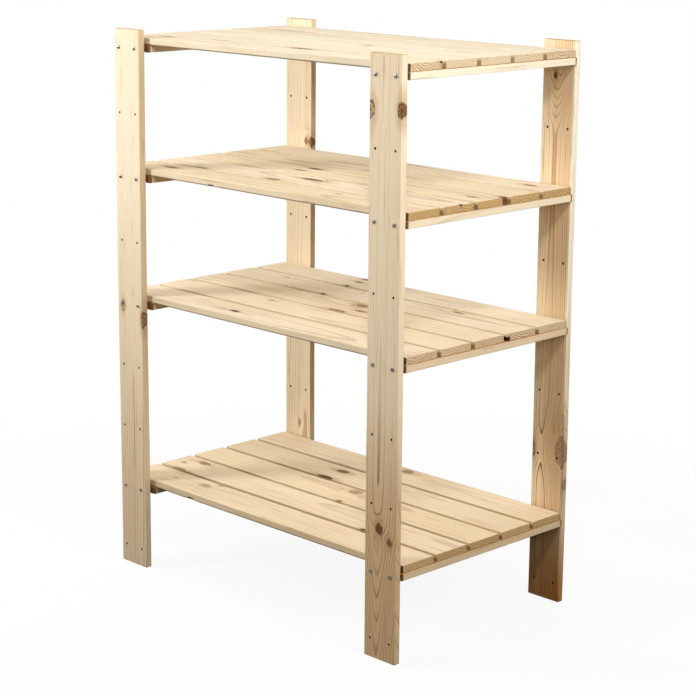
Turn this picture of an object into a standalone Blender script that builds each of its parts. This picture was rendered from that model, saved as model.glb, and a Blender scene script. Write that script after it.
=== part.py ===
"""A free-standing slatted shelving unit of plain pine boards.

Four flat posts stand outside the shelves, two at the front and two at the back. Each shelf is five
long slats on two end battens. Screws go through the posts into the ends of the battens, and the rows of
spare holes in the posts let a shelf be set at another height.

Metres, +Z up, -Y is the front. The origin is on the floor, below the middle of the unit.
"""

import math

import bmesh
import bpy
from mathutils import Matrix

# Boards
POST_HEIGHT = 1.200
POST_WIDTH = 0.084
POST_THICKNESS = 0.015
SLAT_COUNT = 5
SLAT_WIDTH = 0.088
SLAT_THICKNESS = 0.015
BATTEN_THICKNESS = 0.015
EASED_EDGE = 0.001

# Places of the boards
UNIT_WIDTH = 0.860
SLAT_GAP = 0.0105
SLAT_SETBACK = 0.004
SLAT_END_INSET = 0.0015
BATTEN_OUTER_SHOW = 0.003
BATTEN_INNER_SHOW = 0.015

# Rows of screw holes, spread evenly up each post, and the row that each shelf hangs on, counted from 0
FOOT_TO_LOWEST_ROW = 0.040
HIGHEST_ROW_TO_TOP = 0.040
HOLE_EDGE_DISTANCE = 0.0155
SHELF_ON_ROW = {1: "bottom_shelf", 4: "middle_shelf", 6: "upper_shelf", 8: "top_shelf"}

# Screws
SCREW_SHANK_DIAMETER = 0.004
SCREW_BITE = 0.035
SCREW_TIP_LENGTH = 0.006
SCREW_HEAD_HEIGHT = 0.0025
SCREW_HEAD_OVERLAP = 0.0015
HOLE_CLEARANCE = 0.0005

# Clearance between boards that touch, and round a screw in its batten
FIT_GAP = 0.0003

# Facets round a hole or a screw, facets up a screw's domed head, and the angle that stays sharp on it
ROUND_SIDES = 12
DOME_STEPS = 3
SHARP_ANGLE = math.radians(40)

# Colour, roughness and metallic value of each finish
PINE_POST = ((0.72, 0.54, 0.32), 0.62, 0.0)
PINE_SLAT = ((0.78, 0.60, 0.38), 0.60, 0.0)
PINE_BATTEN = ((0.74, 0.57, 0.34), 0.64, 0.0)
ZINC_STEEL = ((0.62, 0.62, 0.60), 0.32, 1.0)

# Sizes that follow from those above
SHELF_DEPTH = SLAT_COUNT * SLAT_WIDTH + (SLAT_COUNT - 1) * SLAT_GAP + 2 * SLAT_SETBACK
BATTEN_WIDTH = POST_WIDTH + BATTEN_OUTER_SHOW + BATTEN_INNER_SHOW
BATTEN_LENGTH = SHELF_DEPTH
SLAT_LENGTH = UNIT_WIDTH + 2 * (BATTEN_OUTER_SHOW - SLAT_END_INSET)
HIGHEST_ROW = max(SHELF_ON_ROW)
ROW_PITCH = (POST_HEIGHT - FOOT_TO_LOWEST_ROW - HIGHEST_ROW_TO_TOP) / HIGHEST_ROW
POST_INNER_FACE = SHELF_DEPTH / 2 + FIT_GAP
POST_CENTRE_X = (UNIT_WIDTH - POST_WIDTH) / 2
POST_CENTRE_Y = POST_INNER_FACE + POST_THICKNESS / 2
POST_OUTER_FACE = POST_INNER_FACE + POST_THICKNESS
HOLE_OFFSET = POST_WIDTH / 2 - HOLE_EDGE_DISTANCE
HOLE_DIAMETER = SCREW_SHANK_DIAMETER + 2 * HOLE_CLEARANCE
SCREW_HEAD_DIAMETER = HOLE_DIAMETER + 2 * SCREW_HEAD_OVERLAP
SCREW_HEAD_SEAT = POST_OUTER_FACE + FIT_GAP
SCREW_LENGTH = SCREW_HEAD_SEAT - BATTEN_LENGTH / 2 + SCREW_BITE
PILOT_DIAMETER = SCREW_SHANK_DIAMETER + 2 * FIT_GAP
PILOT_DEPTH = SCREW_BITE + FIT_GAP
BATTEN_CENTRE_X = UNIT_WIDTH / 2 + BATTEN_OUTER_SHOW - BATTEN_WIDTH / 2

# A cutter runs this far past the face that it enters, and points this close are one
CUTTER_OVERRUN = 0.002
MERGE_DISTANCE = 0.000001

# The sides of the unit, along X and along Y
LEFT_RIGHT = ("left", "right")
FRONT_BACK = ("front", "back")

# The screws through the posts into each shelf: the outer one of a pair is near the unit's outer edge.
# The back posts carry only the outer screw of each pair.
SCREWS_IN_POST = {"front": ("outer", "inner"), "back": ("outer",)}

# Turns that lay a board's length along Y, stand it up along Z with its face to the front, and lay a
# cylinder along X
ALONG_Y = (0.0, 0.0, math.pi / 2)
ALONG_Z = (0.0, -math.pi / 2, -math.pi / 2)
CYLINDER_TO_X = Matrix.Rotation(math.pi / 2, 3, "Y")


def clear_scene():
    """Remove everything that the scene starts with."""
    for old in list(bpy.data.objects):
        bpy.data.objects.remove(old)


def make_finish(name, finish):
    """A plain Principled finish."""
    colour, roughness, metallic = finish
    material = bpy.data.materials.new(name)
    material.use_nodes = True
    shader = material.node_tree.nodes["Principled BSDF"]
    shader.inputs["Base Color"].default_value = (*colour, 1.0)
    shader.inputs["Roughness"].default_value = roughness
    shader.inputs["Metallic"].default_value = metallic
    return material


def new_object(name, bm, parent, material=None):
    """Turn a bmesh into a named object."""
    mesh = bpy.data.meshes.new(name)
    bmesh.ops.recalc_face_normals(bm, faces=bm.faces)
    bm.to_mesh(mesh)
    bm.free()
    if material:
        mesh.materials.append(material)
    made = bpy.data.objects.new(name, mesh)
    made.parent = parent
    bpy.context.scene.collection.objects.link(made)
    return made


def eased_outline(width, thickness):
    """A board's cross-section, with its four long edges eased."""
    half_w, half_t, ease = width / 2, thickness / 2, EASED_EDGE
    corner = [(half_w - ease, half_t), (half_w, half_t - ease)]
    right = corner + [(across, -up) for across, up in reversed(corner)]
    return right + [(-across, -up) for across, up in right]


def board(name, length, width, thickness, material, parent):
    """A board with its length along X, its width along Y and its thickness along Z."""
    bm = bmesh.new()
    outline = [bm.verts.new((-length / 2, across, up)) for across, up in eased_outline(width, thickness)]
    end = bm.faces.new(outline)
    pulled = bmesh.ops.extrude_face_region(bm, geom=[end], use_keep_orig=True)
    moved = [item for item in pulled["geom"] if isinstance(item, bmesh.types.BMVert)]
    bmesh.ops.translate(bm, verts=moved, vec=(length, 0, 0))
    return new_object(name, bm, parent, material)


def drill(target, holes, diameter, axis):
    """Cut round holes: each is the point where it starts and how far it goes along the axis."""
    bm = bmesh.new()
    for start, depth in holes:
        made = bmesh.ops.create_cone(
            bm, cap_ends=True, segments=ROUND_SIDES, radius1=diameter / 2, radius2=diameter / 2, depth=abs(depth)
        )
        if axis == "X":
            bmesh.ops.rotate(bm, verts=made["verts"], matrix=CYLINDER_TO_X)
            middle = (start[0] + depth / 2, start[1], start[2])
        else:
            middle = (start[0], start[1], start[2] + depth / 2)
        bmesh.ops.translate(bm, verts=made["verts"], vec=middle)
    cutter = new_object(target.name + "_cutter", bm, target)
    cutter.hide_render = True
    cutter.display_type = "WIRE"
    cut = target.modifiers.new("screw holes", "BOOLEAN")
    cut.operation = "DIFFERENCE"
    cut.solver = "EXACT"
    cut.object = cutter


def sign_of(side):
    """The side of the origin that a name stands for, along X or Y."""
    return -1 if side in ("left", "front") else 1


def row_height(row):
    """The height of a row of holes, counted from 0 at the foot."""
    return FOOT_TO_LOWEST_ROW + row * ROW_PITCH


def make_posts(parent, material):
    """The four posts, each with every row of screw holes."""
    holes = []
    for row in range(HIGHEST_ROW + 1):
        along = row_height(row) - POST_HEIGHT / 2
        for side in (-1, 1):
            start = (along, side * HOLE_OFFSET, -POST_THICKNESS / 2 - CUTTER_OVERRUN)
            holes.append((start, POST_THICKNESS + 2 * CUTTER_OVERRUN))
    for face in FRONT_BACK:
        for side in LEFT_RIGHT:
            post = board(f"{face}_{side}_post", POST_HEIGHT, POST_WIDTH, POST_THICKNESS, material, parent)
            post.rotation_euler = ALONG_Z
            post.location = (sign_of(side) * POST_CENTRE_X, sign_of(face) * POST_CENTRE_Y, POST_HEIGHT / 2)
            drill(post, holes, HOLE_DIAMETER, "Z")


def make_battens(shelf, height, parent, material):
    """The two battens under the ends of a shelf, each with two pilot holes in each end."""
    for side in LEFT_RIGHT:
        name = f"{shelf}_{side}_batten"
        batten = board(name, BATTEN_LENGTH, BATTEN_WIDTH, BATTEN_THICKNESS, material, parent)
        centre_x = sign_of(side) * BATTEN_CENTRE_X
        batten.rotation_euler = ALONG_Y
        batten.location = (centre_x, 0, height)
        holes = []
        for screw_sign in (-1, 1):
            screw_x = sign_of(side) * POST_CENTRE_X + screw_sign * HOLE_OFFSET
            for end_sign in (-1, 1):
                start = (end_sign * (BATTEN_LENGTH / 2 + CUTTER_OVERRUN), centre_x - screw_x, 0)
                holes.append((start, -end_sign * (PILOT_DEPTH + CUTTER_OVERRUN)))
        drill(batten, holes, PILOT_DIAMETER, "X")


def make_slats(shelf, height, parent, material):
    """The slats of a shelf, numbered from the front."""
    top_of_batten = height + BATTEN_THICKNESS / 2
    for number in range(SLAT_COUNT):
        slat = board(f"{shelf}_slat_{number + 1}", SLAT_LENGTH, SLAT_WIDTH, SLAT_THICKNESS, material, parent)
        across = (number - (SLAT_COUNT - 1) / 2) * (SLAT_WIDTH + SLAT_GAP)
        slat.location = (0, across, top_of_batten + FIT_GAP + SLAT_THICKNESS / 2)


def screw_profile():
    """A pan-head wood screw's half outline, as radius and distance along it from under its head."""
    head, shank = SCREW_HEAD_DIAMETER / 2, SCREW_SHANK_DIAMETER / 2
    rim = SCREW_HEAD_HEIGHT / 2
    dome = []
    for step in range(DOME_STEPS + 1):
        angle = math.pi / 2 * (1 - step / DOME_STEPS)
        dome.append((head * math.cos(angle), -rim - (SCREW_HEAD_HEIGHT - rim) * math.sin(angle)))
    stem = [(head, 0), (shank, 0), (shank, SCREW_LENGTH - SCREW_TIP_LENGTH), (0, SCREW_LENGTH)]
    return dome + stem


def screw_mesh(material):
    """A screw along Y: its head rises to -Y from the origin, and its point is at +Y."""
    bm = bmesh.new()
    points = [bm.verts.new((radius, along, 0)) for radius, along in screw_profile()]
    edges = [bm.edges.new(pair) for pair in zip(points, points[1:])]
    bmesh.ops.spin(
        bm, geom=points + edges, cent=(0, 0, 0), axis=(0, 1, 0), angle=2 * math.pi, steps=ROUND_SIDES
    )
    bmesh.ops.remove_doubles(bm, verts=bm.verts, dist=MERGE_DISTANCE)
    bmesh.ops.recalc_face_normals(bm, faces=bm.faces)
    mesh = bpy.data.meshes.new("pan_head_screw")
    bm.to_mesh(mesh)
    bm.free()
    mesh.shade_smooth()
    mesh.set_sharp_from_angle(angle=SHARP_ANGLE)
    mesh.materials.append(material)
    return mesh


def make_screws(shelf, height, parent, mesh):
    """The screws through the posts into the ends of a shelf's battens."""
    for face in FRONT_BACK:
        for side in LEFT_RIGHT:
            for place in SCREWS_IN_POST[face]:
                screw = bpy.data.objects.new(f"{shelf}_{face}_{side}_{place}_screw", mesh)
                screw.parent = parent
                from_middle = POST_CENTRE_X + (HOLE_OFFSET if place == "outer" else -HOLE_OFFSET)
                screw.location = (sign_of(side) * from_middle, sign_of(face) * SCREW_HEAD_SEAT, height)
                screw.rotation_euler = (0, 0, math.pi if face == "back" else 0)
                bpy.context.scene.collection.objects.link(screw)


def main():
    clear_scene()
    unit = bpy.data.objects.new("shelving_unit", None)
    bpy.context.scene.collection.objects.link(unit)
    post_pine = make_finish("pine_post", PINE_POST)
    slat_pine = make_finish("pine_slat", PINE_SLAT)
    batten_pine = make_finish("pine_batten", PINE_BATTEN)
    screw = screw_mesh(make_finish("zinc_steel", ZINC_STEEL))
    make_posts(unit, post_pine)
    for row, shelf in SHELF_ON_ROW.items():
        height = row_height(row)
        make_battens(shelf, height, unit, batten_pine)
        make_slats(shelf, height, unit, slat_pine)
        make_screws(shelf, height, unit, screw)


main()
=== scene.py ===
"""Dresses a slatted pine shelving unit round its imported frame: boards, fixings and a studio stage."""

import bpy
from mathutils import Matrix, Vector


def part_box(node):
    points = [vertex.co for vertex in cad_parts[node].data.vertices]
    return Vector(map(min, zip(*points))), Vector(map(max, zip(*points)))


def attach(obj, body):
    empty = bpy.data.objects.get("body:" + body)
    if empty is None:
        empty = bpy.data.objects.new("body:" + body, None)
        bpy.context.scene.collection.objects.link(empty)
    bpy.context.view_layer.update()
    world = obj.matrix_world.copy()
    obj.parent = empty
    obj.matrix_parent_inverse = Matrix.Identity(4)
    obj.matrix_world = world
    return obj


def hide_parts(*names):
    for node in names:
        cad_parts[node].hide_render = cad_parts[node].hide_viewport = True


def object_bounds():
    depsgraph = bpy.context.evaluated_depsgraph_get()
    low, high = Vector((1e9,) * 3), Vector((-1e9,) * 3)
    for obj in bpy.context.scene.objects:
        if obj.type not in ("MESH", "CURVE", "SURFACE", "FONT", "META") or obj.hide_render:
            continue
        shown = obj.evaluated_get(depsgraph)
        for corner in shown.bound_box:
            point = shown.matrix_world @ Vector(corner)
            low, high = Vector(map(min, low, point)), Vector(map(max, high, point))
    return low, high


bl_info = {
    "name": "Slatted Pine Shelving Unit",
    "version": (1, 0, 0),
    "blender": (4, 5, 0),
    "location": "3D View > Sidebar > Shelving",
    "description": "Dresses a slatted pine shelving unit: boards, screws, nails and a studio stage",
    "category": "Object",
}

import math
import random
from collections import namedtuple

import bmesh
import bpy
from mathutils import Matrix, Vector

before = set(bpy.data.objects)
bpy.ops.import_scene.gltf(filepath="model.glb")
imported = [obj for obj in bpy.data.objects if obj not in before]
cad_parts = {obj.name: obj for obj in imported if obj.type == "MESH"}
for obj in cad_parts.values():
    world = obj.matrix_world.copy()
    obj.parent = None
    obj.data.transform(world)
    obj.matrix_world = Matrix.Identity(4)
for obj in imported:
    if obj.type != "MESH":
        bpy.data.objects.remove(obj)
CAD_LOW, CAD_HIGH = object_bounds()

# Names of the frame's parts, from the floor up, from the front to the back and from left to right
SHELVES = ("bottom_shelf", "middle_shelf", "upper_shelf", "top_shelf")
FACES = ("front", "back")
SIDES = ("left", "right")
SCREW_PLACES = ("outer", "inner")
SLAT_NUMBERS = range(1, 6)

# Spaces between rows of post holes from the bottom shelf's row to the top shelf's, and rows below the
# bottom shelf
ROWS_BETWEEN_SHELVES = 7
ROWS_BELOW_SHELVES = 1

# How each kind of board lies: its columns are the board's length, width and thickness in the unit
LIES = {
    "post": Matrix(((0, 1, 0), (0, 0, 1), (1, 0, 0))),
    "slat": Matrix.Identity(3),
    "batten": Matrix(((0, -1, 0), (1, 0, 0), (0, 0, 1))),
}

# A knot in a board: its place along and across the board from its middle, the radius of its body, how much
# longer it is along the grain than across it, how plain it is, how far it is a pale body in dark rings
# (below 0 for a black body), and how fast it gets narrower below the board's top (below 0 for behind its
# front)
Knot = namedtuple("Knot", "along across radius longer dark ringed taper", defaults=(1.3, 0.8, 0.2, 0.0))

# A worn or missing corner: which long edge (the signs of across and deep), from where to where, how deep,
# and how far it is as dark as bark
Wane = namedtuple("Wane", "across_sign deep_sign start end depth dark")

# The tree a board was sawn from: where its pith lies from the board's middle, how that line leans along the
# board, how wide its rings are next to the usual ones, how plain the ring lines are at the board's start
# and at its end, how dark the board is next to the usual ones (below 0 for paler), where it swells, and
# where its wood has another colour or painted light or shade lies on it
LOG_PARTS = "pith_across pith_deep lean_across lean_deep ring_width lines tone swells hearts"
Log = namedtuple("Log", LOG_PARTS, defaults=((), ()))

# A swelling of a log, which draws the rings on its boards to arrow heads: where along the board it starts
# and is full, and by how much the log is thicker there
Swell = namedtuple("Swell", "start end height")

# Another colour in a part of a board, which is wood of another colour or painted light or shade: its limits
# across and along the board, how softly it ends along the board, how plain it is, and the name of its colour
Heart = namedtuple("Heart", "first last foot top soft share tone", defaults=("heart",))

# One board, ready to be made
Board = namedtuple("Board", "name kind length width thickness place log knots wanes gap_edges")

KNOTS = {
    "front_right_post": (
        Knot(0.493, -0.041, 0.016, 1.1, 0.85, 0.9),
        Knot(0.496, 0.042, 0.012, 1.5, 1.0, 0.25, -0.5),
        Knot(-0.327, -0.005, 0.0120, 1.0, 1.0, -0.2),
        Knot(-0.350, 0.0235, 0.0085, 0.9, 1.0, 0.35),
    ),
    "front_left_post": (
        Knot(-0.006, -0.026, 0.009, 1.3, 0.65, 0.8),
        Knot(-0.029, 0.044, 0.010, 2.0, 0.85, 0.6, -0.35),
    ),
    "back_left_post": (
        Knot(0.318, 0.043, 0.012, 1.0, 0.9, 0.2, -0.5),
        Knot(0.320, 0.026, 0.006, 1.2, 0.8),
        Knot(-0.365, 0.005, 0.005, 1.3, 0.6),
    ),
    "back_right_post": (
        Knot(0.528, -0.008, 0.0060, 1.1, 1.0, -0.4),
        Knot(-0.270, -0.043, 0.012, 1.8, 0.9, 0.7),
        Knot(-0.266, 0.041, 0.025, 1.45, 0.60, 0.20, -1.0),
        Knot(-0.338, 0.047, 0.007, 2.5, 0.5, 0.0),
    ),
    "bottom_shelf_slat_1": (
        Knot(-0.231, 0.014, 0.011, 1.5, 0.45),
        Knot(-0.320, 0.003, 0.005, 1.2, 0.35),
        Knot(-0.205, 0.038, 0.005, 1.2, 0.5),
    ),
    "bottom_shelf_slat_2": (
        Knot(-0.359, 0.025, 0.010, 1.8, 0.8, 0.4),
        Knot(-0.399, -0.004, 0.005, 1.2, 0.7),
        Knot(-0.370, -0.043, 0.008, 2.5, 0.7),
        Knot(0.221, -0.043, 0.006, 1.3, 1.0, -0.5),
    ),
    "bottom_shelf_slat_3": (
        Knot(0.031, 0.027, 0.014, 1.1, 0.7, 0.9),
        Knot(0.049, -0.042, 0.006, 1.2, 0.8),
    ),
    "bottom_shelf_slat_4": (
        Knot(-0.098, 0.015, 0.011, 1.6, 1.0),
        Knot(-0.097, -0.042, 0.008, 2.8, 1.0, -0.8),
    ),
    "bottom_shelf_slat_5": (Knot(0.004, 0.022, 0.013, 1.3, 0.7),),
    "middle_shelf_slat_1": (Knot(-0.103, -0.009, 0.0065, 2.0, 1.0, -1.0),),
    "middle_shelf_slat_2": (
        Knot(-0.129, 0.022, 0.005, 2.0, 0.6),
        Knot(-0.414, 0.040, 0.006, 1.5, 0.5),
    ),
    "middle_shelf_slat_3": (
        Knot(0.046, 0.029, 0.012, 1.4, 1.0, 0.8),
        Knot(0.038, -0.043, 0.008, 3.0, 0.8),
        Knot(0.078, -0.012, 0.008, 2.0, 0.7),
    ),
    "middle_shelf_slat_4": (
        Knot(-0.106, -0.043, 0.006, 1.3, 1.0, -0.8),
        Knot(-0.290, 0.019, 0.005, 1.8, 0.5),
        Knot(0.230, 0.032, 0.007, 1.7, 0.7),
    ),
    "middle_shelf_slat_5": (
        Knot(-0.140, 0.005, 0.007, 1.5, 0.8),
        Knot(-0.149, 0.039, 0.009, 1.2, 0.9),
        Knot(-0.131, -0.041, 0.004, 1.7, 1.0, -0.8),
    ),
    "upper_shelf_slat_1": (
        Knot(-0.328, 0.007, 0.008, 2.3, 0.8),
        Knot(0.180, 0.020, 0.004, 2.0, 0.5),
    ),
    "upper_shelf_slat_2": (
        Knot(-0.280, -0.041, 0.005, 4.0, 0.5),
        Knot(-0.057, -0.040, 0.008, 2.4, 0.7),
        Knot(0.004, 0.014, 0.011, 2.8, 0.9),
        Knot(0.4305, 0.006, 0.0045, 1.0, 1.0, -1.0, 0.8),
    ),
    "upper_shelf_slat_3": (
        Knot(-0.114, -0.008, 0.007, 2.3, 0.8),
        Knot(-0.102, 0.028, 0.009, 2.2, 1.0, -0.3),
        Knot(0.381, -0.004, 0.007, 2.0, 0.7),
        Knot(0.426, 0.036, 0.009, 1.3, 1.0, -0.4),
    ),
    "upper_shelf_slat_4": (Knot(-0.013, 0.002, 0.006, 1.2, 0.8),),
    "upper_shelf_slat_5": (Knot(0.357, 0.001, 0.009, 2.0, 0.7),),
    "top_shelf_slat_1": (
        Knot(0.061, 0.028, 0.010, 3.0, 0.8),
        Knot(-0.208, 0.043, 0.007, 4.0, 0.7),
        Knot(-0.350, 0.018, 0.006, 3.0, 0.6),
        Knot(0.429, 0.041, 0.005, 1.0, 1.0, -1.0, 0.5),
    ),
    "top_shelf_slat_3": (Knot(0.091, -0.009, 0.006, 2.0, 0.7),),
    "top_shelf_slat_4": (Knot(-0.315, 0.041, 0.010, 4.0, 0.7),),
}

WANES = {
    "back_right_post": (
        Wane(1, -1, -0.600, -0.430, 0.005, 0.1),
        Wane(1, -1, -0.400, -0.180, 0.004, 0.3),
    ),
    "bottom_shelf_slat_1": (Wane(-1, -1, -0.224, -0.200, 0.006, 1.0),),
    "upper_shelf_slat_1": (Wane(-1, -1, -0.150, -0.126, 0.005, 0.8),),
    "middle_shelf_slat_4": (Wane(-1, -1, 0.395, 0.450, 0.010, 1.0),),
}

# Boards whose grain is listed one by one, because their cathedral or straight grain shows
LOGS = {
    "front_right_post": Log(
        -0.006, 0.010, 0.006, 0.004, 1.60, (1.45, 0.35), -0.25, (Swell(-0.220, -0.640, 0.036),),
        (Heart(-0.060, 0.0405, -0.900, -0.340, 0.3, 0.95),)),
    "front_left_post": Log(
        0.050, 0.020, 0.004, 0.004, 2.00, (0.8, 0.25), -0.15, (),
        (
            Heart(-0.060, 0.0405, -0.900, -0.400, 0.3, 0.15),
            # Painted light: the upper part of the front left post paler, where the light falls brightest
            Heart(-0.060, 0.0385, 0.300, 0.900, 0.3, 0.30, "pale"),
            # Painted shade: the right side of the front left post in the darker edge colour, where less light
            # reaches
            Heart(0.0395, 0.060, 0.000, 0.900, 0.3, 0.42, "edge"),
            Heart(0.0060, 0.0085, -0.340, -0.190, 0.06, 0.45, "stain"),
        )),
    # The back left post's paler tone is partly the board's own and partly painted light, for the light from
    # the left
    "back_left_post": Log(0.030, 0.040, 0.010, 0.006, 1.80, (0.7, 0.5), -0.25),
    "back_right_post": Log(
        -0.008, 0.012, 0.010, 0.004, 1.30, (1.8, 1.0), 0.0, (Swell(0.570, 0.400, 0.030),),
        (
            Heart(-0.012, 0.034, -0.900, 0.900, 0.3, 0.62),
            # Painted light: the right side of the back right post pale, where the side light falls on it
            Heart(0.0395, 0.060, 0.050, 0.900, 0.1, 1.00, "pale"),
            # Painted shade: the foot of the back right post dark below the bottom shelf, where its shadow
            # falls
            Heart(-0.060, 0.060, -0.900, -0.600, 0.28, 0.95, "foot"),
        )),
}

# The usual reach of the numbers in a Log, where it is drawn by chance, and how much paler and how plainly
# lined the boards of each shelf are; the higher shelves are paler as painted light, brighter towards the top
PITH_ACROSS_REACH = 0.040
PITH_DEEP_NEAREST = 0.014
PITH_DEEP_FARTHEST = 0.070
LEAN_REACH = 0.025
RING_WIDTHS = (2.0, 4.2)
CHANCE_LINES = {"slat": (0.12, 0.42), "batten": (0.2, 0.5)}
TONE_REACH = 0.20
SHELF_PALE = {"bottom_shelf": 0.20, "middle_shelf": 0.35, "upper_shelf": 0.50, "top_shelf": 0.90}
SHELF_LINES = {"bottom_shelf": 1.0, "middle_shelf": 1.7, "upper_shelf": 1.7, "top_shelf": 1.2}
KIND_TONES = {"slat": 0.0, "batten": 0.35}
SWELL_PLACE_REACH = 0.40
SWELL_LENGTH = (0.15, 0.40)
SWELL_HEIGHT = (0.004, 0.014)

# Small knots for the boards that have none listed: their radius, how many there are at most, and how far
# from the middle they may lie, as shares of the board's length and width
CHANCE_KNOT_RADIUS = (0.003, 0.008)
CHANCE_KNOTS_AT_MOST = 2
CHANCE_KNOT_ALONG = 0.45
CHANCE_KNOT_ACROSS = 0.50

# The distance between a board's cross-sections, and how far a cutter goes past a surface
STATION_SPACING = 0.020
OVERRUN = 0.002

# A soft box: its place, the height above the floor that it faces, its size in metres, its power in watts,
# the angle in degrees over which it spreads its light, and its tint
Lamp = namedtuple("Lamp", "name place aim size power spread tint")

# Tints of daylight and of a warm room
COOL = (0.98, 1.0, 1.04)
WARM = (1.25, 0.93, 0.56)

LAMPS = (
    Lamp("left_softbox", (-1.5, -1.9, 1.7), 1.0, 0.6, 12.9, 95, COOL),
    Lamp("far_left_softbox", (-2.6, -0.8, 1.7), 0.7, 1.2, 10, 120, COOL),
    Lamp("right_lamp", (1.7, -1.55, 2.5), 1.1, 0.35, 5.1, 80, COOL),
    Lamp("side_softbox", (2.6, -0.3, 1.8), 0.95, 0.8, 12.5, 95, COOL),
)

# The rays that see the floor and the surround as white
SEEN_RAYS = ("Is Camera Ray", "Is Glossy Ray", "Is Transmission Ray")

# Where the white backdrop stands, as a direction from the unit, and where it starts and is full, as the
# cosine of the angle to that direction
BACKDROP_SIDE = (-0.71, 0.71, 0.0)
BACKDROP_START = -0.1
BACKDROP_FULL = 0.5

# The floor: its radius, its number of sides, and how far it lies below the feet
FLOOR_RADIUS = 40
FLOOR_SIDES = 64
FLOOR_GAP = 0.0005

# The shortest length that can be set in the sidebar
LEAST_LENGTH = 0.00001


def shelf_of(node):
    """The shelf that a node belongs to, or None for a post."""
    return next((shelf for shelf in SHELVES if node.startswith(shelf)), None)


def sign_of(side):
    """The side of the origin that a name stands for, along X or Y."""
    return -1 if side in ("left", "front") else 1


def colour_setting(name, description, default):
    """A colour for the sidebar."""
    return bpy.props.FloatVectorProperty(
        name=name, description=description, subtype="COLOR", default=default, min=0, max=1)


def share_setting(name, description, default):
    """A number from 0 to 1 for the sidebar."""
    return bpy.props.FloatProperty(
        name=name, description=description, subtype="FACTOR", default=default, min=0, max=1)


def length_setting(name, description, default):
    """A length for the sidebar."""
    return bpy.props.FloatProperty(
        name=name, description=description, unit="LENGTH", default=default, min=LEAST_LENGTH)


def angle_setting(name, description, degrees):
    """An angle for the sidebar."""
    return bpy.props.FloatProperty(
        name=name, description=description, subtype="ANGLE", default=math.radians(degrees))


def number_setting(name, description, default):
    """A plain number for the sidebar."""
    return bpy.props.FloatProperty(name=name, description=description, default=default)


def count_setting(name, description, default, least):
    """A whole number for the sidebar."""
    return bpy.props.IntProperty(name=name, description=description, default=default, min=least)


class PineFinish(bpy.types.PropertyGroup):
    """Colours and grain of the pine."""

    early: colour_setting("Early wood", "Pale wood between the ring lines", (0.84, 0.68, 0.45))
    pale: colour_setting("Sap wood", "Early wood of the palest boards", (0.93, 0.84, 0.66))
    late: colour_setting("Late wood", "Ring lines", (0.30, 0.14, 0.045))
    heart: colour_setting("Heart wood", "Warm wood in streaks and near the pith", (0.72, 0.50, 0.28))
    knot: colour_setting("Knot", "Body of a knot", (0.150, 0.058, 0.018))
    bark: colour_setting("Bark", "Dark ring round a knot, and worn corners", (0.040, 0.017, 0.006))
    stain: colour_setting("Resin stain", "Resin beside a knot and in flecks", (0.48, 0.27, 0.12))
    end_grain: colour_setting("End grain", "Sawn ends of the boards", (0.58, 0.38, 0.14))
    # Painted shade: the edge colour darkens the slats' edges in the gaps and the right side of the front left
    # post; the shelves' outer edges get a little of it as a tint
    edge: colour_setting("Edge", "Long edges in the gaps between slats, near their top", (0.58, 0.42, 0.19))
    # Painted shade: this brown stands in for the shade deep in the gaps, in the seams behind the posts, along
    # the slats' lower corners and on the battens' ends
    shade_brown: colour_setting("Dust", "Dust deep in the gaps and seams", (0.13, 0.062, 0.018))
    # Painted shade: this brown darkens the foot of the back right post and the tops of the battens in the
    # gaps
    foot: colour_setting("Foot", "Dark foot of a post, and tops of the battens", (0.44, 0.20, 0.050))
    # Painted shade: the walls of the holes are a dark, dull brown
    bore: colour_setting("Bore", "Walls of the drilled holes", (0.10, 0.055, 0.025))
    sheen: share_setting("Sheen", "How strongly the planed faces reflect", 0.05)
    roughness: share_setting("Roughness", "Roughness of planed wood", 0.75)
    ring_strength: share_setting("Ring strength", "How far the darkest ring lines go to late wood", 0.90)
    ring_spacing: length_setting("Ring spacing", "Usual width of a year's ring", 0.0036)
    relief: length_setting("Relief", "Height of the grain on a planed face", 0.00025)


class BoardShape(bpy.types.PropertyGroup):
    """Shape of the planed and drilled boards."""

    edge_radius: length_setting("Edge radius", "Rounding of the long edges", 0.0012)
    end_ease: length_setting("End ease", "Chamfer round the sawn ends", 0.0005)
    edge_steps: count_setting("Edge steps", "Facets round a long edge", 3, 1)
    crook: length_setting("Crook", "How far an edge strays from straight", 0.0006)
    slat_turn: angle_setting("Slat turn", "How far a slat may be turned on its battens", 0.06)
    hole_diameter: length_setting("Hole diameter", "Holes through the posts", 0.005)
    hole_flare: length_setting("Hole flare", "Worn rim of a hole", 0.0004)
    pilot_diameter: length_setting("Pilot diameter", "Screw holes in the battens", 0.0046)
    hole_sides: count_setting("Hole sides", "Facets round a hole", 20, 8)


class Fixings(bpy.types.PropertyGroup):
    """Screws and nails."""

    # Painted reflection: the zinc is dark, so the heads look as if they reflect a dark room
    zinc: colour_setting("Zinc", "Plating of the screws", (0.19, 0.18, 0.165))
    steel: colour_setting("Steel", "Bare steel of the nails", (0.42, 0.41, 0.40))
    head_height: length_setting("Head height", "Screw head from its seat to its crown", 0.0025)
    shank_diameter: length_setting("Shank diameter", "Screw over its thread", 0.004)
    thread_depth: length_setting("Thread depth", "Thread from its root to its crest", 0.0006)
    thread_pitch: length_setting("Thread pitch", "Thread along one turn", 0.0018)
    recess_span: length_setting("Recess span", "Cross recess from tip to tip", 0.0044)
    recess_width: length_setting("Recess width", "Width of one slot of the cross", 0.0011)
    recess_depth: length_setting("Recess depth", "Depth of the cross", 0.0015)
    nail_head: length_setting("Nail head", "Diameter of a nail's head", 0.0055)
    nail_head_height: length_setting("Nail head height", "Thickness of a nail's head", 0.0009)
    nail_shank: length_setting("Nail shank", "Diameter of a nail", 0.0022)
    nail_length: length_setting("Nail length", "Nail below its head", 0.025)


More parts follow.
